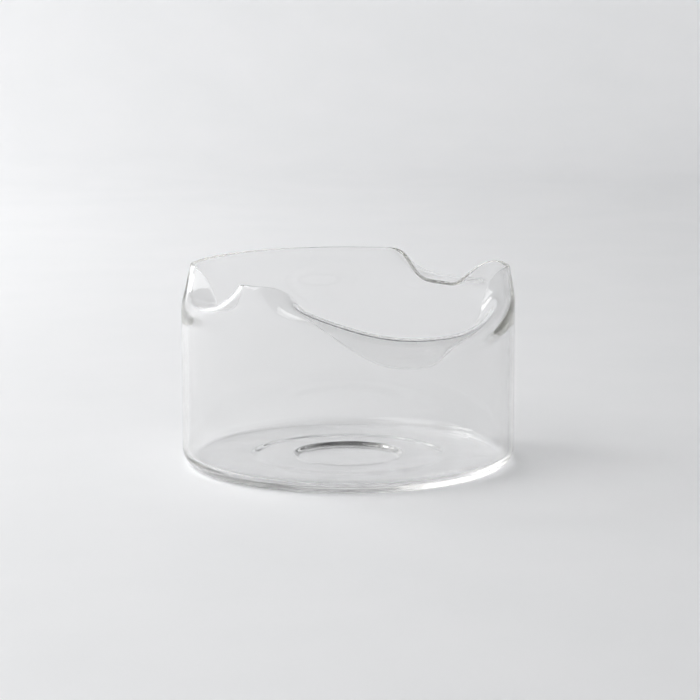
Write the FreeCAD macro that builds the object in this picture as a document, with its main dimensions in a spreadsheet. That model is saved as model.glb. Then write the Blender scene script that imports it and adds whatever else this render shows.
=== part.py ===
"""Crystallizing dish of clear borosilicate glass with three folded-in rim lips.

The dish is one blown piece. It is modelled as the zones that its maker forms one after
another: the thick base, the rounded heel, the drawn tube wall, and the rim band, which
is softened and folded inward over three arcs. The zones meet face to face. Millimetres,
+Z up, origin at the centre of the ring that the dish stands on.
"""
import FreeCAD, Part
import math
import os
import Sketcher

DRIVING_SIZES = {
    # the tube and the base
    "outer_radius": 70.0,
    "wall_thickness": 2.5,
    "base_thickness": 3.6,
    "base_radius": 58.0,        # where the base zone ends and the heel zone starts
    "heel_radius": 6.5,         # outside of the rounded heel
    "heel_inner_radius": 4.0,
    "heel_height": 12.0,
    "wall_top": 50.0,           # the plain tube ends here and the formed rim starts
    # the underside stands a little off the bench inside this step
    "step_radius": 39.5,
    "step_width": 5.0,
    "step_height": 0.3,
    # the round dimple in the middle of the floor inside
    "dimple_radius": 22.0,
    "dimple_width": 2.4,        # of its sloping side
    "dimple_height": 1.6,
    # the rim where it isn't folded: it only leans in
    "lean_start": 66.3,         # length up the wall at which it starts to lean
    "lean_angle": 20.4,         # degrees from upright that it would reach
    "lean_length": 25.9,        # length over which it would reach that angle
    "strip_length": 81.8,       # length of glass from the base plane to the rim's edge
    # the glass is drawn thinner where it is bent, all on its inner side
    "rim_thickness": 1.4,
    "thinning_before": 0.5,     # bend lengths before the bend at which it starts to thin
    "thinning_after": 0.6,      # bend lengths into the bend at which it is thinnest
    # azimuths at which the rim is divided, each where it stands plain between two lips
    "rear_start": 9.0,
    "back_start": 81.0,
    "left_start": 162.5,
    "front_start": 236.25,
}

# One column per folded lip. Azimuths are in degrees from +X, counter-clockwise from above.
LIP_FIELDS = ("azimuth", "drop_before", "drop_after", "fold_before", "fold_after",
              "round_before", "round_after", "drop", "fold_angle", "bend_length",
              "spread", "stretch")
LIPS = {
    # azimuth: middle of the lip; drop_*, fold_*: degrees on each side over which the bend's
    # height and its angle run out; round_*: how flat the lip is before it rises;
    # drop: how far the bend sits below lean_start; spread: how evenly the fold angle holds;
    # stretch: extra length of glass in the middle.
    "front": (305.1, 53.3, 49.3, 68.5, 62.2, 2.71, 2.25, 10.4, 138.0, 10.4, 5.4, -0.8),
    "left": (192.7, 29.5, 33.9, 26.3, 43.2, 1.67, 2.25, 2.5, 100.0, 7.5, 2.9, -1.9),
    "rear": (42.9, 32.3, 37.3, 29.4, 35.4, 2.16, 1.77, -0.5, 95.0, 7.5, 2.3, 1.8),
}

# The zones of the rim, each with the azimuths at which it starts and ends.
SECTORS = (
    ("rear_lip", "rear_start", "back_start"),
    ("back_rim", "back_start", "left_start"),
    ("left_lip", "left_start", "front_start"),
    ("front_lip", "front_start", "rear_start"),
)

SECTION_STEP = 3.0      # degrees between the sections that a lip's skin passes through
STRIP_STATIONS = 24     # intervals along each side of a section
BEAD_STATIONS = 8       # intervals round the melted edge
FINE_STEPS = 10         # integration steps in each interval of a section

document = FreeCAD.newDocument("crystallizing_dish")
sheet = document.addObject("Spreadsheet::Sheet", "sizes")


# ---------------------------------------------------------------- spreadsheet

def write_sheet():
    """Put every driving size in column B, with its name in column A and as its alias."""
    rows = dict(DRIVING_SIZES)
    for lip, values in LIPS.items():
        for field, value in zip(LIP_FIELDS, values):
            rows["%s_%s" % (lip, field)] = value
    for row, (name, value) in enumerate(rows.items(), start=1):
        sheet.set("A%d" % row, name)
        sheet.set("B%d" % row, str(value))
        sheet.setAlias("B%d" % row, name)
    document.recompute()


def size(name):
    """The present value of one cell."""
    return float(sheet.get(name))


# ---------------------------------------------------------------- turned zones

# How an outline runs from one corner to the next.
LINE = "line"
ARC_FROM_LINE = "arc that leaves the line before it smoothly"
ARC_INTO_LINE = "arc that runs smoothly into the line after it"


def origin_plane(body, role):
    return [plane for plane in body.Origin.OriginFeatures if plane.Role == role][0]


def value_of(expression):
    """Work out an expression such as 'outer_radius - wall_thickness' from the sheet."""
    if expression is None:
        return 0.0
    total = 0.0
    sign = 1.0
    for word in expression.split():
        if word in "+-":
            sign = 1.0 if word == "+" else -1.0
            continue
        name, _, divisor = word.partition("/")
        total += sign * size(name) / float(divisor or 1)
    return total


def bound(expression):
    """The same expression with every name pointing into the spreadsheet."""
    return " ".join(word if word in "+-" else "sizes." + word for word in expression.split())


def arc_between(start, end, heading):
    """The arc between two points that leaves the first in the given direction. It is
    drawn anticlockwise, as a sketch stores its arcs."""
    chord = end - start
    side = heading.cross(chord).z
    half_turn = heading.getAngle(chord)
    sagitta = chord.Length / 2.0 * math.tan(half_turn / 2.0)
    across = FreeCAD.Vector(chord.y, -chord.x, 0.0).normalize()
    middle = start + chord / 2.0 + across * math.copysign(sagitta, side)
    return Part.Arc(start, middle, end) if side > 0.0 else Part.Arc(end, middle, start)


def add_outline(sketch, corners):
    """Draw a closed outline and bind it to the sheet. Each corner is its radius and its
    height, as expressions of sheet names or None for zero, and how the outline runs on."""
    places = [FreeCAD.Vector(value_of(radius), value_of(height), 0.0)
              for radius, height, run in corners]
    count = len(corners)
    for index, (radius, height, run) in enumerate(corners):
        here, there = places[index], places[(index + 1) % count]
        edge = Part.LineSegment(here, there)
        if run == ARC_FROM_LINE:
            edge = arc_between(here, there, here - places[index - 1])
        elif run == ARC_INTO_LINE:
            edge = arc_between(there, here, there - places[(index + 2) % count])
        sketch.addGeometry(edge, False)

    def end_of(index, at_start):
        """Which end of an edge lies at its first corner, or at its last."""
        edge = sketch.Geometry[index]
        corner = places[index] if at_start else places[(index + 1) % count]
        return 1 if edge.StartPoint.distanceToPoint(corner) < 0.001 else 2

    for index in range(count):
        following = (index + 1) % count
        smooth = (corners[following][2] == ARC_FROM_LINE
                  or corners[index][2] == ARC_INTO_LINE)
        sketch.addConstraint(Sketcher.Constraint(
            "Tangent" if smooth else "Coincident",
            index, end_of(index, False), following, end_of(following, True)))
    for index, (radius, height, run) in enumerate(corners):
        for kind, axis, expression in (("DistanceX", -2, radius), ("DistanceY", -1, height)):
            at = end_of(index, True)
            if expression is None:
                sketch.addConstraint(Sketcher.Constraint("PointOnObject", index, at, axis))
                continue
            number = sketch.addConstraint(Sketcher.Constraint(
                kind, -1, 1, index, at, value_of(expression)))
            sketch.setExpression("Constraints[%d]" % number, bound(expression))


def turned_body(label, corners):
    """A body made by turning an outline round Z."""
    body = document.addObject("PartDesign::Body", label)
    body.Label = label
    sketch = body.newObject("Sketcher::SketchObject", label + "_outline")
    sketch.AttachmentSupport = (origin_plane(body, "XZ_Plane"), [""])
    sketch.MapMode = "FlatFace"
    add_outline(sketch, corners)
    revolution = body.newObject("PartDesign::Revolution", label + "_turned")
    revolution.Profile = sketch
    revolution.ReferenceAxis = (sketch, ["V_Axis"])
    revolution.Angle = 360.0
    body.Tip = revolution
    body.Placement = FreeCAD.Placement()
    return body


def make_base_disc():
    """The base: a flat resting ring with a faint step inside it, and a round dimple in the
    floor. Each step is two arcs that meet halfway down it."""
    floor = "base_thickness"
    return turned_body("base_disc", [
        (None, "step_height", LINE),
        ("step_radius - step_width/2", "step_height", ARC_FROM_LINE),
        ("step_radius", "step_height/2", ARC_INTO_LINE),
        ("step_radius + step_width/2", None, LINE),
        ("base_radius", None, LINE),
        ("base_radius", floor, LINE),
        ("dimple_radius + dimple_width/2", floor, ARC_FROM_LINE),
        ("dimple_radius", floor + " - dimple_height/2", ARC_INTO_LINE),
        ("dimple_radius - dimple_width/2", floor + " - dimple_height", LINE),
        (None, floor + " - dimple_height", LINE),
    ])


def make_heel_ring():
    """The rounded corner between the base and the wall."""
    inner_radius = "outer_radius - wall_thickness"
    floor = "base_thickness"
    return turned_body("heel_ring", [
        ("base_radius", None, LINE),
        ("outer_radius - heel_radius", None, ARC_FROM_LINE),
        ("outer_radius", "heel_radius", LINE),
        ("outer_radius", "heel_height", LINE),
        (inner_radius, "heel_height", LINE),
        (inner_radius, floor + " + heel_inner_radius", ARC_FROM_LINE),
        (inner_radius + " - heel_inner_radius", floor, LINE),
        ("base_radius", floor, LINE),
    ])


def make_side_wall():
    """The plain tube between the heel and the formed rim."""
    inner_radius = "outer_radius - wall_thickness"
    return turned_body("side_wall", [
        (inner_radius, "heel_height", LINE),
        ("outer_radius", "heel_height", LINE),
        ("outer_radius", "wall_top", LINE),
        (inner_radius, "wall_top", LINE),
    ])


# ---------------------------------------------------------------- formed rim

def turn_from(azimuth, middle):
    """Signed degrees from the middle of a lip to an azimuth, within half a turn."""
    return (azimuth - middle + 180.0) % 360.0 - 180.0


def swell(turn, before, after, round_before, round_after):
    """1 in the middle of a lip, falling smoothly to 0 at its two ends."""
    reach = before if turn < 0 else after
    power = round_before if turn < 0 else round_after
    share = min(abs(turn) / reach, 1.0)
    return (1.0 - share ** power) ** 2


def fold_at(azimuth):
    """How the strip of glass above the wall is bent at one azimuth: the length at which
    the bend starts, its angle, the length of the bend, and the strip's whole length."""
    start = size("lean_start")
    angle = size("lean_angle")
    bend = size("lean_length")
    length = size("strip_length")
    for lip in LIPS:
        cell = {field: size("%s_%s" % (lip, field)) for field in LIP_FIELDS}
        turn = turn_from(azimuth, cell["azimuth"])
        dropped = swell(turn, cell["drop_before"], cell["drop_after"],
                        cell["round_before"], cell["round_after"])
        folded = swell(turn, cell["fold_before"], cell["fold_after"],
                       cell["round_before"], cell["round_after"])
        folded = 1.0 - (1.0 - folded) ** cell["spread"]
        start -= cell["drop"] * dropped
        length += cell["stretch"] * dropped
        angle += (cell["fold_angle"] - size("lean_angle")) * folded
        bend += (cell["bend_length"] - size("lean_length")) * folded
    return start, angle, bend, length


def tilt(travelled, start, angle, bend):
    """The strip's angle from upright, in radians, at a length along it."""
    share = min(max((travelled - start) / bend, 0.0), 1.0)
    return math.radians(angle) * share * share * (3.0 - 2.0 * share)


def thickness_at(travelled, start, bend):
    """The thickness of the glass at a length up the strip."""
    first = start - size("thinning_before") * bend
    last = start + size("thinning_after") * bend
    share = min(max((travelled - first) / (last - first), 0.0), 1.0)
    thinned = size("wall_thickness") - size("rim_thickness")
    return size("wall_thickness") - thinned * share * share * (3.0 - 2.0 * share)


def guide_line(azimuth):
    """Points up the strip at one azimuth, from the wall's top to the rim's edge, each with
    the direction in which the strip runs there and the thickness of its glass. They lie
    half the tube wall's thickness inside the outer skin."""
    start, angle, bend, length = fold_at(azimuth)
    radius = size("outer_radius") - size("wall_thickness") / 2.0
    height = size("wall_top")
    step = (length - height) / (STRIP_STATIONS * FINE_STEPS)
    around = math.radians(azimuth)
    outward = FreeCAD.Vector(math.cos(around), math.sin(around), 0.0)
    upward = FreeCAD.Vector(0.0, 0.0, 1.0)
    travelled = height
    points = []
    for station in range(STRIP_STATIONS + 1):
        lean = tilt(travelled, start, angle, bend)
        run = upward * math.cos(lean) - outward * math.sin(lean)
        points.append((outward * radius + upward * height, run,
                       thickness_at(travelled, start, bend)))
        for fine in range(FINE_STEPS):
            lean = tilt(travelled + step / 2.0, start, angle, bend)
            radius -= math.sin(lean) * step
            height += math.cos(lean) * step
            travelled += step
    return points


def skin_section(azimuth):
    """One section of the rim's surface: up the outside, round the melted edge and down
    the inside."""
    skin_depth = size("wall_thickness") / 2.0
    spread = 0.25
    here = guide_line(azimuth)
    before = guide_line(azimuth - spread)
    after = guide_line(azimuth + spread)
    outside = []
    inside = []
    for station, (point, run, thickness) in enumerate(here):
        along_rim = after[station][0] - before[station][0]
        normal = along_rim.cross(run)
        normal.normalize()
        outside.append(point + normal * skin_depth)
        inside.append(point + normal * (skin_depth - thickness))
    half = thickness / 2.0
    edge = outside[-1] - normal * half
    beyond = normal.cross(along_rim)
    beyond.normalize()
    bead = []
    for station in range(1, BEAD_STATIONS):
        turn = math.pi * station / BEAD_STATIONS
        bead.append(edge + normal * (half * math.cos(turn)) + beyond * (half * math.sin(turn)))
    return outside + bead + inside[::-1]


def rim_sector(start, end):
    """A closed solid of the rim between two azimuths."""
    count = max(int(round((end - start) / SECTION_STEP)), 2)
    sections = [skin_section(start + (end - start) * index / count)
                for index in range(count + 1)]
    surface = Part.BSplineSurface()
    surface.interpolate(sections)
    skin = surface.toShape()
    faces = [skin]
    open_edges = skin.Edges
    floor_level = size("wall_top")
    lower = [edge for edge in open_edges
             if abs(edge.BoundBox.ZMax - floor_level) < 0.001]
    ends = [edge for edge in open_edges
            if abs(edge.BoundBox.ZMax - floor_level) >= 0.001]
    feet = []
    for edge in ends:
        foot = Part.makeLine(edge.Vertexes[0].Point, edge.Vertexes[-1].Point)
        feet.append(foot)
        faces.append(Part.Face(Part.Wire(Part.__sortEdges__([edge, foot]))))
    faces.append(Part.Face(Part.Wire(Part.__sortEdges__(lower + feet))))
    shell = Part.Shell(faces)
    shell.sewShape()
    solid = Part.Solid(Part.Shell(shell.Faces))
    if solid.Volume < 0.0:
        solid.reverse()
    return solid


def make_rim():
    """The rim band, one named zone for each lip and one for the plain back."""
    zones = []
    for label, start_name, end_name in SECTORS:
        start, end = size(start_name), size(end_name)
        zone = document.addObject("Part::Feature", label)
        zone.Label = label
        zone.Shape = rim_sector(start, end if end > start else end + 360.0)
        zone.Placement = FreeCAD.Placement()
        zones.append(zone)
    return zones


# ---------------------------------------------------------------- build and write

def check(parts):
    for item in document.Objects:
        if "Invalid" in item.State or "Error" in item.State:
            raise RuntimeError("%s failed: %s" % (item.Label, item.State))
    for part in parts:
        if part.Shape.isNull() or not part.Shape.isValid():
            raise RuntimeError("%s has no valid shape" % part.Label)


def main():
    write_sheet()
    parts = [make_base_disc(), make_heel_ring(), make_side_wall()] + make_rim()
    document.recompute()
    check(parts)
    os.makedirs("parts", exist_ok=True)
    for part in parts:
        part.Shape.exportStep("parts/%s.step" % part.Label)
        print("%-10s %9.1f mm3  %d solid  closed %s" % (
            part.Label, part.Shape.Volume, len(part.Shape.Solids),
            all(shell.isClosed() for shell in part.Shape.Shells)))


main()
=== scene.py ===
"""A crystallizing dish of clear borosilicate glass, on a pale studio sweep.

The dish is one blown piece, so it is one closed shell of glass. It follows a strip that runs
from the centre of the base, round the heel and up the wall, and is bent inward and down at
the rim over three lips. A Geometry Nodes tree lays that strip out step by step, puts the two
skins of the glass on it, rounds its edge and shapes its base. Metres, +Z up.
"""

import math

import bpy
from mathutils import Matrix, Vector


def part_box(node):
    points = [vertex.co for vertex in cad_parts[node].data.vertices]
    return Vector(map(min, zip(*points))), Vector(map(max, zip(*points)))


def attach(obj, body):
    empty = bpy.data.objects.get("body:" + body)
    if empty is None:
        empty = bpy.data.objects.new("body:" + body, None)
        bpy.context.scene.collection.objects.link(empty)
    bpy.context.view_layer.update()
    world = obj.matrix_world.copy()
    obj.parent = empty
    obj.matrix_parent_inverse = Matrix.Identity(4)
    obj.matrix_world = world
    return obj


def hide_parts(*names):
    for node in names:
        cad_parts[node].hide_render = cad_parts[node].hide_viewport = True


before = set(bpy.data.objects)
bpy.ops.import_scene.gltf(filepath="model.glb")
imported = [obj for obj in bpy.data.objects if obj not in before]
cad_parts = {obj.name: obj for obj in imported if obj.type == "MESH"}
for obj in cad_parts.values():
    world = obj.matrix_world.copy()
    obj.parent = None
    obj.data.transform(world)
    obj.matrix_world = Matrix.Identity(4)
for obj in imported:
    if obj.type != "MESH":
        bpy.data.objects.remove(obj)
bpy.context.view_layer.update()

MM = 0.001

# ---------------------------------------------------------------- sizes of the glass

WALL_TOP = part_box("side_wall")[1].z         # the plain tube ends, the formed rim starts
OUTER_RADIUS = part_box("side_wall")[1].x
WALL = 2.5 * MM
BASE_THICKNESS = 3.6 * MM
HEEL_OUTER_RADIUS = 6.5 * MM
HEEL_BEND = HEEL_OUTER_RADIUS - WALL / 2    # radius of the bend of the strip

# Inside a faint step the underside stands a little off the floor, and the base has a round
# dimple in the middle of its upper side: radius, width, height.
UNDERSIDE_STEP = (39.5 * MM, 5.0 * MM, 0.3 * MM)
DIMPLE = (22.0 * MM, 2.4 * MM, 1.6 * MM)

# Where the rim isn't folded, it only leans in.
LEAN_START = 66.3 * MM
LEAN_ANGLE = 20.4
LEAN_LENGTH = 25.9 * MM
STRIP_LENGTH = 81.8 * MM

# The glass is drawn thinner where it is bent, all on its inner side.
RIM_THICKNESS = 1.4 * MM
THINNING_BEFORE = 0.5       # bend lengths before the bend
THINNING_AFTER = 0.6        # bend lengths into the bend

# One row per folded lip. Azimuths and reaches are in degrees. These values, and LEAN_START,
# LEAN_ANGLE, LEAN_LENGTH and STRIP_LENGTH above, weren't chosen by hand: they are the rounded
# output of a least-squares fit of this formula to points along the dish's outlines.
LIP_FIELDS = ("azimuth", "drop before", "drop after", "fold before", "fold after",
              "round before", "round after", "drop", "fold angle", "bend length",
              "spread", "stretch")
LIPS = {
    "front": (305.1, 53.3, 49.3, 68.5, 62.2, 2.71, 2.25, 10.4 * MM, 138.0, 10.4 * MM, 5.4,
              -0.8 * MM),
    "left": (192.7, 29.5, 33.9, 26.3, 43.2, 1.67, 2.25, 2.5 * MM, 100.0, 7.5 * MM, 2.9,
             -1.9 * MM),
    "rear": (42.9, 32.3, 37.3, 29.4, 35.4, 2.16, 1.77, -0.5 * MM, 95.0, 7.5 * MM, 2.3,
             1.8 * MM),
}

COLUMNS = 400           # divisions round the dish
BEAD_ROWS = 12          # divisions round the melted edge

# The path along the strip, measured from the centre of the base.
HEEL_START = OUTER_RADIUS - HEEL_OUTER_RADIUS
HEEL_END = HEEL_START + HEEL_BEND * math.pi / 2
PATH_AT_BASE_PLANE = HEEL_END - HEEL_BEND - BASE_THICKNESS / 2
BAND_START = PATH_AT_BASE_PLANE + WALL_TOP
PATH_LENGTH = PATH_AT_BASE_PLANE + STRIP_LENGTH

# Rows of faces along the path, close together where the glass bends: where each stretch
# ends, and its rows. The second just holds the dimple's side, and the fourth the step's.
ROWS = (
    (20.6 * MM, 4),
    (23.4 * MM, 14),
    (36.8 * MM, 4),
    (42.2 * MM, 8),
    (HEEL_START, 5),
    (HEEL_END, 12),
    (BAND_START, 8),
    (PATH_LENGTH, 60),
)
STATIONS = sum(rows for end, rows in ROWS) + 1
SHELL_ROWS = 2 * STATIONS + BEAD_ROWS - 1
MERGE_DISTANCE = 0.001 * MM     # joins the shell's seam and the points at its centre


# ---------------------------------------------------------------- nodes

def add(tree, kind, inputs=None, **settings):
    """Add one node with its settings. Inputs maps a socket's name or number to a value, or
    to the node or socket that feeds it."""
    node = tree.nodes.new(kind)
    for name, value in settings.items():
        setattr(node, name, value)
    for key, value in (inputs or {}).items():
        socket = node.inputs[key] if isinstance(key, int) else next(
            found for found in node.inputs if found.name == key and found.enabled)
        if isinstance(value, bpy.types.Node):
            value = next(found for found in value.outputs if found.enabled)
        if isinstance(value, bpy.types.NodeSocket):
            tree.links.new(value, socket)
        else:
            socket.default_value = value
    return node


def new_tree(name, inputs, output, output_type):
    """An empty Geometry Nodes tree with named number inputs and one output."""
    tree = bpy.data.node_groups.new(name, "GeometryNodeTree")
    for label in inputs:
        tree.interface.new_socket(label, in_out="INPUT", socket_type="NodeSocketFloat")
    tree.interface.new_socket(output, in_out="OUTPUT", socket_type=output_type)
    return tree, add(tree, "NodeGroupInput").outputs


def lip_share_tree():
    """1 in the middle of a lip, falling smoothly to 0 at its two ends."""
    tree, given = new_tree(
        "lip_share", ("Azimuth", "Middle", "Before", "After", "Round Before", "Round After"),
        "Share", "NodeSocketFloat")
    away = add(tree, "ShaderNodeMath", {0: given["Azimuth"], 1: given["Middle"]},
               operation="SUBTRACT")
    turn = add(tree, "ShaderNodeMath", {0: away, 1: 180.0, 2: -180.0}, operation="WRAP")
    is_before = add(tree, "ShaderNodeMath", {0: turn, 1: 0.0}, operation="LESS_THAN")
    reach = add(tree, "ShaderNodeMix", {0: is_before, 2: given["After"], 3: given["Before"]})
    power = add(tree, "ShaderNodeMix",
                {0: is_before, 2: given["Round After"], 3: given["Round Before"]})
    size = add(tree, "ShaderNodeMath", {0: turn}, operation="ABSOLUTE")
    ratio = add(tree, "ShaderNodeMath", {0: size, 1: reach}, operation="DIVIDE",
                use_clamp=True)
    fall = add(tree, "ShaderNodeMath", {0: ratio, 1: power}, operation="POWER")
    left = add(tree, "ShaderNodeMath", {0: 1.0, 1: fall}, operation="SUBTRACT")
    share = add(tree, "ShaderNodeMath", {0: left, 1: left}, operation="MULTIPLY")
    add(tree, "NodeGroupOutput", {"Share": share})
    return tree


def dish_sizes():
    """The named inputs of the dish's tree and their values."""
    sizes = {
        "Columns": COLUMNS,
        "Stations": STATIONS,
        "Bead Rows": BEAD_ROWS,
        "Wall": WALL,
        "Base Thickness": BASE_THICKNESS,
        "Heel Start": HEEL_START,
        "Heel End": HEEL_END,
        "Band Start": BAND_START,
        "Path Length": PATH_LENGTH,
        "Lean Start": PATH_AT_BASE_PLANE + LEAN_START,
        "Lean Angle": LEAN_ANGLE,
        "Lean Length": LEAN_LENGTH,
        "Rim Thickness": RIM_THICKNESS,
        "Thinning Before": THINNING_BEFORE,
        "Thinning After": THINNING_AFTER,
    }
    for lip, values in LIPS.items():
        for field, value in zip(LIP_FIELDS, values):
            sizes["%s %s" % (lip, field)] = value
    return sizes


def fold_fields(tree, given, azimuth):
    """How the strip is bent at an azimuth: where the bend starts, its angle in degrees, its
    length, and how much longer than usual the strip is."""
    lip_share = lip_share_tree()
    start = given["Lean Start"]
    angle = given["Lean Angle"]
    bend = given["Lean Length"]
    stretch = 0.0
    for lip in LIPS:
        field = {name: given["%s %s" % (lip, name)] for name in LIP_FIELDS}
        shares = []
        for what in ("drop", "fold"):
            shares.append(add(tree, "GeometryNodeGroup", {
                "Azimuth": azimuth, "Middle": field["azimuth"],
                "Before": field[what + " before"], "After": field[what + " after"],
                "Round Before": field["round before"],
                "Round After": field["round after"]}, node_tree=lip_share))
        dropped, narrow_fold = shares
        rest = add(tree, "ShaderNodeMath", {0: 1.0, 1: narrow_fold}, operation="SUBTRACT")
        spread = add(tree, "ShaderNodeMath", {0: rest, 1: field["spread"]},
                     operation="POWER")
        drop = add(tree, "ShaderNodeMath", {0: dropped, 1: field["drop"]},
                   operation="MULTIPLY")
        start = add(tree, "ShaderNodeMath", {0: start, 1: drop}, operation="SUBTRACT")
        stretch = add(tree, "ShaderNodeMath", {0: dropped, 1: field["stretch"], 2: stretch},
                      operation="MULTIPLY_ADD")
        angle = add(tree, "ShaderNodeMix", {0: spread, 2: field["fold angle"], 3: angle})
        bend = add(tree, "ShaderNodeMix", {0: spread, 2: field["bend length"], 3: bend})
    return start, angle, bend, stretch


def path_at(tree, given, station, stretch):
    """Length of path from the centre of the base to a station."""
    share = add(tree, "ShaderNodeMath", {0: station, 1: STATIONS - 1.0}, operation="DIVIDE")
    curve = add(tree, "ShaderNodeFloatCurve", {"Value": share})
    points = curve.mapping.curves[0].points
    row = 0
    for end, rows in ROWS:
        row += rows
        place = (row / (STATIONS - 1.0), end / PATH_LENGTH)
        if row < STATIONS - 1:
            points.new(*place).handle_type = "VECTOR"
    for point in points:
        point.handle_type = "VECTOR"
    curve.mapping.update()
    plain = add(tree, "ShaderNodeMath", {0: curve, 1: given["Path Length"]},
                operation="MULTIPLY")
    band = add(tree, "ShaderNodeMapRange", {
        "Value": plain, "From Min": given["Band Start"], "From Max": given["Path Length"]})
    return add(tree, "ShaderNodeMath", {0: band, 1: stretch, 2: plain},
               operation="MULTIPLY_ADD")


def heading_at(tree, given, path, start, angle, bend):
    """The strip's direction at a length of path: 0 runs outward, a quarter turn runs up."""
    heel = add(tree, "ShaderNodeMapRange", {
        "Value": path, "From Min": given["Heel Start"], "From Max": given["Heel End"],
        "To Max": math.pi / 2})
    bend_end = add(tree, "ShaderNodeMath", {0: start, 1: bend}, operation="ADD")
    radians = add(tree, "ShaderNodeMath", {0: angle}, operation="RADIANS")
    fold = add(tree, "ShaderNodeMapRange", {
        "Value": path, "From Min": start, "From Max": bend_end, "To Max": radians},
        interpolation_type="SMOOTHSTEP")
    return add(tree, "ShaderNodeMath", {0: heel, 1: fold}, operation="ADD")


def half_thinned_at(tree, given, path, start, bend):
    """Half of how much thinner than the tube the glass is at a length of path."""
    before = add(tree, "ShaderNodeMath", {0: bend, 1: given["Thinning Before"]},
                 operation="MULTIPLY")
    first = add(tree, "ShaderNodeMath", {0: start, 1: before}, operation="SUBTRACT")
    last = add(tree, "ShaderNodeMath", {0: bend, 1: given["Thinning After"], 2: start},
               operation="MULTIPLY_ADD")
    thinned = add(tree, "ShaderNodeMath", {0: given["Wall"], 1: given["Rim Thickness"]},
                  operation="SUBTRACT")
    half = add(tree, "ShaderNodeMath", {0: thinned, 1: 0.5}, operation="MULTIPLY")
    return add(tree, "ShaderNodeMapRange", {
        "Value": path, "From Min": first, "From Max": last, "To Max": half},
        interpolation_type="SMOOTHSTEP")


def column_and_row(tree, rows):
    """Which column of a grid a point is in, and which row of that column."""
    index = add(tree, "GeometryNodeInputIndex")
    column = add(tree, "ShaderNodeMath", {0: index, 1: rows}, operation="DIVIDE")
    column = add(tree, "ShaderNodeMath", {0: column}, operation="FLOOR")
    return column, add(tree, "ShaderNodeMath", {0: index, 1: rows}, operation="MODULO")


def whole_strip(tree, given):
    """The strip of every column, as a grid of points, and the fields of how far along the
    path each point lies and of how much thinner its glass is."""
    grid = add(tree, "GeometryNodeMeshGrid", {
        "Vertices X": given["Columns"], "Vertices Y": given["Stations"]})
    column, station = column_and_row(tree, given["Stations"])
    turn = add(tree, "ShaderNodeMath", {0: column, 1: given["Columns"]}, operation="DIVIDE")
    azimuth = add(tree, "ShaderNodeMath", {0: turn, 1: 360.0}, operation="MULTIPLY")
    start, angle, bend, stretch = fold_fields(tree, given, azimuth)
    station_before = add(tree, "ShaderNodeMath", {0: station, 1: 1.0}, operation="SUBTRACT")
    station_before = add(tree, "ShaderNodeMath", {0: station_before, 1: 0.0},
                         operation="MAXIMUM")
    path = path_at(tree, given, station, stretch)
    path_before = path_at(tree, given, station_before, stretch)
    step = add(tree, "ShaderNodeMath", {0: path, 1: path_before}, operation="SUBTRACT")
    halfway = add(tree, "ShaderNodeMath", {0: step, 1: 0.5, 2: path_before},
                  operation="MULTIPLY_ADD")
    heading = heading_at(tree, given, halfway, start, angle, bend)
    forward = add(tree, "ShaderNodeMath", {0: heading}, operation="COSINE")
    upward = add(tree, "ShaderNodeMath", {0: heading}, operation="SINE")
    radians = add(tree, "ShaderNodeMath", {0: azimuth}, operation="RADIANS")
    east = add(tree, "ShaderNodeMath", {0: radians}, operation="COSINE")
    north = add(tree, "ShaderNodeMath", {0: radians}, operation="SINE")
    east = add(tree, "ShaderNodeMath", {0: east, 1: forward}, operation="MULTIPLY")
    north = add(tree, "ShaderNodeMath", {0: north, 1: forward}, operation="MULTIPLY")
    direction = add(tree, "ShaderNodeCombineXYZ", {0: east, 1: north, 2: upward})
    move = add(tree, "ShaderNodeVectorMath", {0: direction, "Scale": step},
               operation="SCALE")
    travelled = add(tree, "GeometryNodeAccumulateField", {
        "Value": move, "Group ID": column}, data_type="FLOAT_VECTOR")
    place = add(tree, "ShaderNodeVectorMath", {
        0: travelled, 1: (0.0, 0.0, BASE_THICKNESS / 2)}, operation="ADD")
    strip = add(tree, "GeometryNodeSetPosition", {"Geometry": grid, "Position": place})
    return strip, path, half_thinned_at(tree, given, path, start, bend)


def neighbour(tree, given, column_step, station_step):
    """The position of a neighbouring point of the strip. Columns close into a ring;
    stations stop at the rim, and at the ring next to the centre."""
    column, station = column_and_row(tree, given["Stations"])
    column = add(tree, "ShaderNodeMath", {0: column, 1: column_step}, operation="ADD")
    column = add(tree, "ShaderNodeMath", {0: column, 1: given["Columns"], 2: 0.0},
                 operation="WRAP")
    station = add(tree, "ShaderNodeMath", {0: station, 1: station_step}, operation="ADD")
    lowest = 0.0 if station_step else 1.0
    station = add(tree, "ShaderNodeMath", {0: station, 1: lowest}, operation="MAXIMUM")
    station = add(tree, "ShaderNodeMath", {0: station, 1: STATIONS - 1.0},
                  operation="MINIMUM")
    found = add(tree, "ShaderNodeMath", {0: column, 1: given["Stations"], 2: station},
                operation="MULTIPLY_ADD")
    position = add(tree, "GeometryNodeInputPosition")
    return add(tree, "GeometryNodeFieldAtIndex", {"Value": position, "Index": found},
               data_type="FLOAT_VECTOR")


def surface_directions(tree, given):
    """The outward normal of the strip, and the direction straight off its rim."""
    along_rim = add(tree, "ShaderNodeVectorMath", {
        0: neighbour(tree, given, 1.0, 0.0), 1: neighbour(tree, given, -1.0, 0.0)},
        operation="SUBTRACT")
    run = add(tree, "ShaderNodeVectorMath", {
        0: neighbour(tree, given, 0.0, 1.0), 1: neighbour(tree, given, 0.0, -1.0)},
        operation="SUBTRACT")
    across = add(tree, "ShaderNodeVectorMath", {0: along_rim, 1: run},
                 operation="CROSS_PRODUCT")
    normal = add(tree, "ShaderNodeVectorMath", {0: across}, operation="NORMALIZE")
    off = add(tree, "ShaderNodeVectorMath", {0: normal, 1: along_rim},
              operation="CROSS_PRODUCT")
    return normal, add(tree, "ShaderNodeVectorMath", {0: off}, operation="NORMALIZE")


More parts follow.
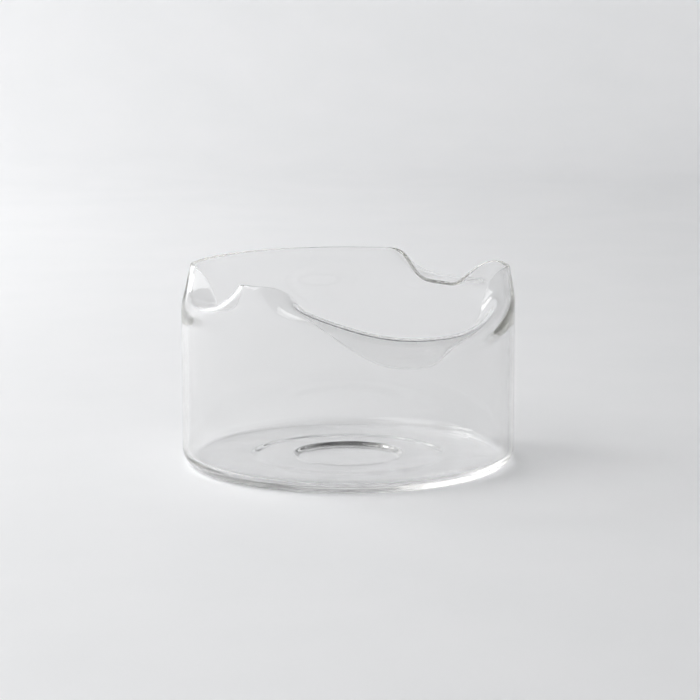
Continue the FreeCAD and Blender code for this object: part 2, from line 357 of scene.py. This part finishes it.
def step_down(tree, path, radius, width, height):
    """A smooth step from its height, inside a radius, down to nothing outside it."""
    return add(tree, "ShaderNodeMapRange", {
        "Value": path, "From Min": radius - width / 2, "From Max": radius + width / 2,
        "To Min": height, "To Max": 0.0}, interpolation_type="SMOOTHSTEP")


def dish_tree(material):
    """The whole dish: the strip, then a closed shell round it."""
    tree, given = new_tree("blown_dish", dish_sizes(), "Geometry", "NodeSocketGeometry")
    strip, path, half_thinned = whole_strip(tree, given)
    normal, beyond = surface_directions(tree, given)

    # Rows of the shell run up the outside, round the melted edge and down the inside.
    columns = add(tree, "ShaderNodeMath", {0: given["Columns"], 1: 1.0}, operation="ADD")
    shell = add(tree, "GeometryNodeMeshGrid", {
        "Vertices X": columns, "Vertices Y": SHELL_ROWS})
    column, row = column_and_row(tree, float(SHELL_ROWS))
    column = add(tree, "ShaderNodeMath", {0: column, 1: given["Columns"]},
                 operation="MODULO")
    past_edge = add(tree, "ShaderNodeMath", {0: row, 1: (SHELL_ROWS - 1) / 2},
                    operation="SUBTRACT")
    half_bead = add(tree, "ShaderNodeMath", {0: given["Bead Rows"], 1: 2.0},
                    operation="DIVIDE")
    from_edge = add(tree, "ShaderNodeMath", {0: past_edge}, operation="ABSOLUTE")
    down_strip = add(tree, "ShaderNodeMath", {0: from_edge, 1: half_bead},
                     operation="SUBTRACT")
    down_strip = add(tree, "ShaderNodeMath", {0: down_strip, 1: 0.0}, operation="MAXIMUM")
    station = add(tree, "ShaderNodeMath", {0: STATIONS - 1.0, 1: down_strip},
                  operation="SUBTRACT")
    source = add(tree, "ShaderNodeMath", {0: column, 1: given["Stations"], 2: station},
                 operation="MULTIPLY_ADD")
    bead_reach = add(tree, "ShaderNodeMath", {0: half_bead, 1: -1.0}, operation="MULTIPLY")
    round_edge = add(tree, "ShaderNodeMapRange", {
        "Value": past_edge, "From Min": bead_reach, "From Max": half_bead,
        "To Max": math.pi})
    sampled = {}
    for name, field, kind in (
            ("place", add(tree, "GeometryNodeInputPosition"), "FLOAT_VECTOR"),
            ("normal", normal, "FLOAT_VECTOR"), ("beyond", beyond, "FLOAT_VECTOR"),
            ("path", path, "FLOAT"), ("half thinned", half_thinned, "FLOAT")):
        sampled[name] = add(tree, "GeometryNodeSampleIndex", {
            "Geometry": strip, "Value": field, "Index": source}, data_type=kind)
    thickness = add(tree, "ShaderNodeMapRange", {
        "Value": sampled["path"], "From Min": given["Heel Start"],
        "From Max": given["Heel End"], "To Min": given["Base Thickness"],
        "To Max": given["Wall"]}, interpolation_type="SMOOTHSTEP")
    half = add(tree, "ShaderNodeMath", {0: thickness, 1: 0.5}, operation="MULTIPLY")
    half = add(tree, "ShaderNodeMath", {0: half, 1: sampled["half thinned"]},
               operation="SUBTRACT")
    sideways = add(tree, "ShaderNodeMath", {0: round_edge}, operation="COSINE")
    sideways = add(tree, "ShaderNodeMath", {
        0: sideways, 1: half, 2: sampled["half thinned"]}, operation="MULTIPLY_ADD")
    outward = add(tree, "ShaderNodeMath", {0: round_edge}, operation="SINE")
    outward = add(tree, "ShaderNodeMath", {0: outward, 1: half}, operation="MULTIPLY")
    offset = add(tree, "ShaderNodeVectorMath", {0: sampled["normal"], "Scale": sideways},
                 operation="SCALE")
    cap = add(tree, "ShaderNodeVectorMath", {0: sampled["beyond"], "Scale": outward},
              operation="SCALE")
    place = add(tree, "ShaderNodeVectorMath", {0: sampled["place"], 1: offset},
                operation="ADD")
    place = add(tree, "ShaderNodeVectorMath", {0: place, 1: cap}, operation="ADD")
    outside = add(tree, "ShaderNodeMath", {0: past_edge, 1: 0.0}, operation="LESS_THAN")
    dimple = add(tree, "ShaderNodeMath", {
        0: step_down(tree, sampled["path"], *DIMPLE), 1: -1.0}, operation="MULTIPLY")
    lift = add(tree, "ShaderNodeMix", {
        0: outside, 2: dimple, 3: step_down(tree, sampled["path"], *UNDERSIDE_STEP)})
    lift = add(tree, "ShaderNodeCombineXYZ", {2: lift})
    shell = add(tree, "GeometryNodeSetPosition", {
        "Geometry": shell, "Position": place, "Offset": lift})
    shell = add(tree, "GeometryNodeMergeByDistance", {
        "Geometry": shell, "Distance": MERGE_DISTANCE})
    shell = add(tree, "GeometryNodeSetShadeSmooth", {"Geometry": shell})
    shell = add(tree, "GeometryNodeSetMaterial", {"Geometry": shell, "Material": material})
    add(tree, "NodeGroupOutput", {"Geometry": shell})
    return tree


def make_dish(material):
    """Run the tree once and keep its result as a plain mesh."""
    carrier = bpy.data.objects.new("dish_carrier", bpy.data.meshes.new("dish_carrier"))
    bpy.context.scene.collection.objects.link(carrier)
    tree = dish_tree(material)
    modifier = carrier.modifiers.new("blown_dish", "NODES")
    modifier.node_group = tree
    sizes = dish_sizes()
    for item in tree.interface.items_tree:
        if item.in_out == "INPUT":
            modifier[item.identifier] = float(sizes[item.name])
    graph = bpy.context.evaluated_depsgraph_get()
    mesh = bpy.data.meshes.new_from_object(carrier.evaluated_get(graph), depsgraph=graph)
    bpy.data.objects.remove(carrier)
    mesh.name = "glass_dish"
    dish = bpy.data.objects.new("glass_dish", mesh)
    bpy.context.scene.collection.objects.link(dish)
    return dish


# ---------------------------------------------------------------- materials

GLASS_IOR = 1.473
GLASS_ABSORPTION = 12.0         # density of the faint grey of the glass
WAVE_SIZE = 18 * MM             # waves of hand working in the glass
WAVE_DEPTH = 0.05 * MM
CLOUD_SIZE = 70 * MM            # clouds and fibres of the paper
FIBRE_SIZE = 1.6 * MM
FIBRE_DEPTH = 0.06 * MM


def linear(hex_colour):
    """An sRGB hex colour as the linear numbers that a shader takes."""
    parts = [int(hex_colour[i:i + 2], 16) / 255 for i in (1, 3, 5)]
    return tuple(part / 12.92 if part <= 0.04045 else ((part + 0.055) / 1.055) ** 2.4
                 for part in parts) + (1.0,)


def new_material(name):
    material = bpy.data.materials.new(name)
    material.use_nodes = True
    material.node_tree.nodes.clear()
    return material, material.node_tree


def borosilicate_glass():
    """Clear borosilicate 3.3, blown and fire-polished: colourless and mirror-smooth, with the
    faint waves of hand working, so that what is seen through it bends a little."""
    material, tree = new_material("borosilicate_glass")
    place = add(tree, "ShaderNodeTexCoord").outputs["Object"]
    waves = add(tree, "ShaderNodeTexNoise", {
        "Vector": place, "Scale": 1 / WAVE_SIZE, "Detail": 2.0, "Roughness": 0.4})
    bump = add(tree, "ShaderNodeBump", {
        "Height": waves.outputs["Fac"], "Strength": 1.0, "Distance": WAVE_DEPTH})
    glass = add(tree, "ShaderNodeBsdfPrincipled", {
        "Base Color": linear("#fafafa"), "Roughness": 0.0, "IOR": GLASS_IOR,
        "Transmission Weight": 1.0, "Normal": bump})
    absorb = add(tree, "ShaderNodeVolumeAbsorption", {
        "Color": linear("#f7f7f6"), "Density": GLASS_ABSORPTION})
    add(tree, "ShaderNodeOutputMaterial", {"Surface": glass, "Volume": absorb})
    return material


def matte_sweep_paper():
    """Matte white studio paper: it scatters light evenly and shows no horizon, with a fine
    grain of fibres and faint broad clouds where the pulp lies thicker."""
    material, tree = new_material("matte_sweep_paper")
    place = add(tree, "ShaderNodeTexCoord").outputs["Object"]
    clouds = add(tree, "ShaderNodeTexNoise", {
        "Vector": place, "Scale": 1 / CLOUD_SIZE, "Detail": 3.0, "Roughness": 0.5})
    tone = add(tree, "ShaderNodeMix", {
        "Factor": clouds, "A": linear("#ecedee"), "B": linear("#f2f2f3")}, data_type="RGBA")
    fibres = add(tree, "ShaderNodeTexNoise", {
        "Vector": place, "Scale": 1 / FIBRE_SIZE, "Detail": 4.0, "Roughness": 0.6})
    grain = add(tree, "ShaderNodeBump", {
        "Height": fibres, "Strength": 1.0, "Distance": FIBRE_DEPTH})
    paper = add(tree, "ShaderNodeBsdfPrincipled", {
        "Base Color": tone, "Roughness": 0.9, "Specular IOR Level": 0.1, "Normal": grain})
    add(tree, "ShaderNodeOutputMaterial", {"Surface": paper})
    return material


# ---------------------------------------------------------------- studio

SWEEP_LEVEL = -0.05 * MM    # just below the dish, so that the two surfaces don't coincide
SWEEP_FLOOR_RADIUS = 1.2
SWEEP_BEND = 0.5            # radius of the bend from the floor to the backdrop
SWEEP_BEND_STEPS = 24
SWEEP_TOP_BEHIND = 1.5
SWEEP_TOP_IN_FRONT = 0.6
SWEEP_SIDES = 96

# Where each softbox stands, what it points at, its side in metres and its power in watts.
SOFTBOXES = {
    "softbox_upper_left": ((-1.0, -0.5, 1.0), (0.0, -0.3, 0.0), 1.6, 22.8),
    "backdrop_wash": ((-1.2, 0.7, 1.0), (-0.7, 1.3, 0.2), 0.7, 13.2),
}
ROOM_LIGHT = 0.06
LIGHT_BOUNCES = 512

CAMERA_HEIGHT_POINT = 41.0 * MM     # the point on the dish's axis that it stands back from
CAMERA_DISTANCE = 1.069
CAMERA_ELEVATION = 9.9              # degrees
CAMERA_LENS = 130.5
CAMERA_SHIFT = (0.8 * MM, 0.0, 6.3 * MM)    # how far from that point it is aimed


def make_sweep(material):
    """The floor and the backdrop in one: a round floor that bends up all the way round and
    stands highest behind the dish."""
    line = [(SWEEP_FLOOR_RADIUS / 8, 0.0), (SWEEP_FLOOR_RADIUS / 2, 0.0)]
    for step in range(SWEEP_BEND_STEPS + 1):
        turn = math.pi / 2 * step / SWEEP_BEND_STEPS
        line.append((SWEEP_FLOOR_RADIUS + SWEEP_BEND * math.sin(turn),
                     SWEEP_BEND * (1 - math.cos(turn))))
    line.append((line[-1][0], None))    # the top, whose height changes from side to side
    points = []
    for radius, height in line:
        for side in range(SWEEP_SIDES):
            around = math.tau * side / SWEEP_SIDES
            behind = (1.0 + math.sin(around)) / 2
            top = SWEEP_TOP_IN_FRONT + (SWEEP_TOP_BEHIND - SWEEP_TOP_IN_FRONT) * behind
            points.append((radius * math.cos(around), radius * math.sin(around),
                           SWEEP_LEVEL + (top if height is None else height)))
    faces = [tuple(range(SWEEP_SIDES))]
    for ring in range(len(line) - 1):
        for side in range(SWEEP_SIDES):
            here = ring * SWEEP_SIDES + side
            beside = ring * SWEEP_SIDES + (side + 1) % SWEEP_SIDES
            faces.append((here, here + SWEEP_SIDES, beside + SWEEP_SIDES, beside))
    mesh = bpy.data.meshes.new("sweep")
    mesh.from_pydata(points, [], faces)
    mesh.shade_smooth()
    mesh.materials.append(material)
    sweep = bpy.data.objects.new("sweep", mesh)
    bpy.context.scene.collection.objects.link(sweep)
    return sweep


def aim(thing, place, target):
    thing.location = place
    thing.rotation_euler = (Vector(target) - Vector(place)).to_track_quat("-Z", "Y").to_euler()


def add_softbox(name, place, target, side, watts):
    lamp = bpy.data.lights.new(name, "AREA")
    lamp.shape = "RECTANGLE"
    lamp.size = side
    lamp.size_y = side
    lamp.energy = watts
    holder = bpy.data.objects.new(name, lamp)
    bpy.context.scene.collection.objects.link(holder)
    aim(holder, place, target)
    return holder


def light_studio():
    for name, values in SOFTBOXES.items():
        add_softbox(name, *values)
    world = bpy.data.worlds.new("studio_room")
    world.use_nodes = True
    world.node_tree.nodes["Background"].inputs["Color"].default_value = linear("#c9cacc")
    world.node_tree.nodes["Background"].inputs["Strength"].default_value = ROOM_LIGHT
    bpy.context.scene.world = world


def add_camera():
    """A long lens, a little above the rim, with the dish a little below the middle."""
    middle = Vector((0.0, 0.0, CAMERA_HEIGHT_POINT))
    elevation = math.radians(CAMERA_ELEVATION)
    place = middle + CAMERA_DISTANCE * Vector(
        (0.0, -math.cos(elevation), math.sin(elevation)))
    camera = bpy.data.cameras.new("camera")
    camera.lens = CAMERA_LENS
    holder = bpy.data.objects.new("camera", camera)
    bpy.context.scene.collection.objects.link(holder)
    aim(holder, place, middle + Vector(CAMERA_SHIFT))
    bpy.context.scene.camera = holder


# ---------------------------------------------------------------- the scene

dish = make_dish(borosilicate_glass())
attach(dish, "root")
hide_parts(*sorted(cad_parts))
make_sweep(matte_sweep_paper())
light_studio()
add_camera()
bpy.context.scene.view_settings.view_transform = "Standard"

# Light runs round inside the base and the rim by many reflections before it comes out, and
# stays sharp when it has passed through glass onto the floor.
bpy.context.scene.cycles.max_bounces = LIGHT_BOUNCES
bpy.context.scene.cycles.glossy_bounces = LIGHT_BOUNCES
bpy.context.scene.cycles.transmission_bounces = LIGHT_BOUNCES
bpy.context.scene.cycles.blur_glossy = 0.0
